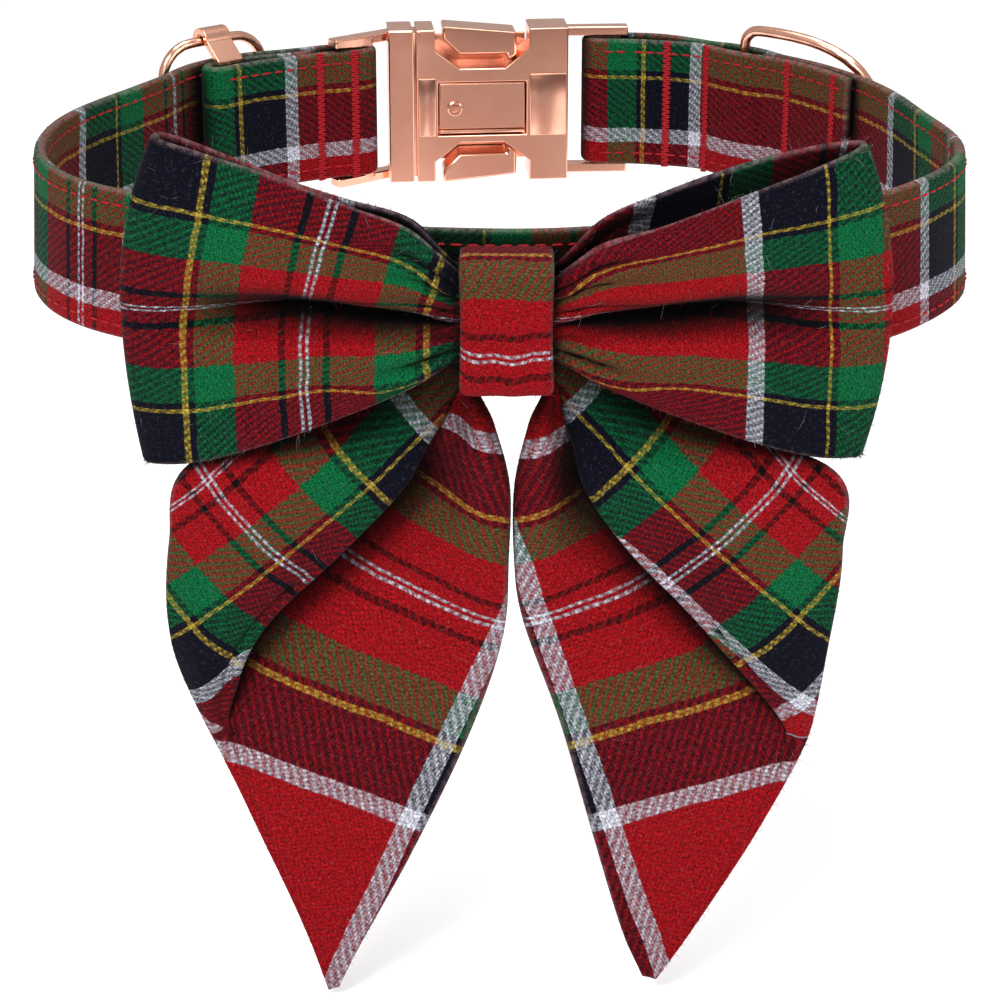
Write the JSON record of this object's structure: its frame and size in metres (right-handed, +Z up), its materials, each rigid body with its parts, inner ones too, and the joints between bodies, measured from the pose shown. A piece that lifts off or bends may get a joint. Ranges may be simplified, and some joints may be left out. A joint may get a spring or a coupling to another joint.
{
  "type": "pet bow tie collar",
  "caption": "Dog collar in red tartan flannel with a sailor bow, rose gold side-release buckle, D ring and slider, shown fastened as a standing loop.",
  "frame": {"origin": "middle of the neck opening, at half the height of the strap", "axes": "+Z up through the neck opening, -Y towards the bow, +X to the right seen from the bow's side"},
  "size_m": [0.162, 0.1505, 0.1501],
  "materials": {
    "tartan_flannel": "brushed twill flannel, red green and navy tartan",
    "black_elastic": "plain woven elastic",
    "rose_gold": "polished rose gold plating"
  },
  "bodies": {
    "collar": {"collar_strap": "tartan_flannel", "bow_loop": "tartan_flannel", "bow_knot": "tartan_flannel", "bow_tails": "tartan_flannel", "elastic_left": "black_elastic", "elastic_right": "black_elastic", "slider_frame": "rose_gold", "slider_bar": "rose_gold", "buckle_socket": "rose_gold", "buckle_plug": "rose_gold", "buckle_plate": "rose_gold", "buckle_screw": "rose_gold"},
    "ring": {"d_ring": "rose_gold"},
    "lever_up": {"upper_lever": "rose_gold"},
    "lever_down": {"lower_lever": "rose_gold"}
  },
  "joints": [
    {"name": "ring_swing", "type": "hinge", "parent": "collar", "child": "ring", "pos_m": [0.04596, 0.05503, 0], "axis": [0, 0, 1], "range_deg": [0, 90]},
    {"name": "upper_lever_press", "type": "hinge", "parent": "collar", "child": "lever_up", "pos_m": [0.00118, 0.06454, 0.0121], "axis": [0.0872, -0.9962, 0], "range_deg": [0, 7], "stiffness_Nm_per_rad": 0.05},
    {"name": "lower_lever_press", "type": "hinge", "parent": "collar", "child": "lever_down", "pos_m": [0.00118, 0.06454, -0.0121], "axis": [-0.0872, 0.9962, 0], "range_deg": [0, 7], "stiffness_Nm_per_rad": 0.05}
  ]
}
